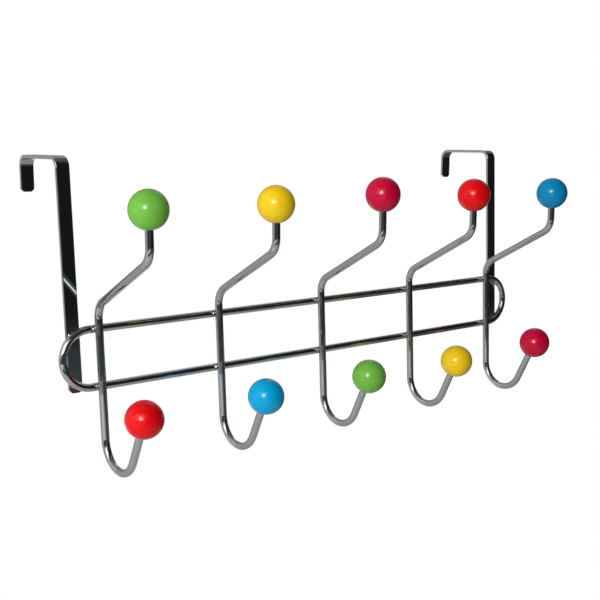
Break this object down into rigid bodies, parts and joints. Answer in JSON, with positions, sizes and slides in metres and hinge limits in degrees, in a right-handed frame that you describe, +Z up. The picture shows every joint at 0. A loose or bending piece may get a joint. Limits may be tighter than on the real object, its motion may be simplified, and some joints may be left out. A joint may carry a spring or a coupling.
{
  "type": "over door hook",
  "caption": "Chromed wire hook rack that hangs over a door on bent flat straps, with raised and J-shaped hooks tipped with coloured balls.",
  "frame": {"origin": "on the door's front top edge, midway between the two straps: where the straps' back faces and the undersides of their top runs would meet", "axes": "+X along the rack, -Y out of the door into the room, +Z up"},
  "size_m": [0.3642, 0.1238, 0.1759],
  "materials": {
    "chromed_steel": "polished",
    "green_plastic": "glossy",
    "yellow_plastic": "glossy",
    "magenta_plastic": "glossy",
    "red_plastic": "glossy",
    "blue_plastic": "glossy"
  },
  "bodies": {
    "root": {"frame_loop": "chromed_steel", "hook_wire_1": "chromed_steel", "hook_wire_2": "chromed_steel", "hook_wire_3": "chromed_steel", "hook_wire_4": "chromed_steel", "hook_wire_5": "chromed_steel", "upper_ball_1": "green_plastic", "upper_ball_2": "yellow_plastic", "upper_ball_3": "magenta_plastic", "upper_ball_4": "red_plastic", "upper_ball_5": "blue_plastic", "lower_ball_1": "red_plastic", "lower_ball_2": "blue_plastic", "lower_ball_3": "green_plastic", "lower_ball_4": "yellow_plastic", "lower_ball_5": "magenta_plastic", "door_strap_left": "chromed_steel", "door_strap_right": "chromed_steel"}
  },
  "joints": []
}
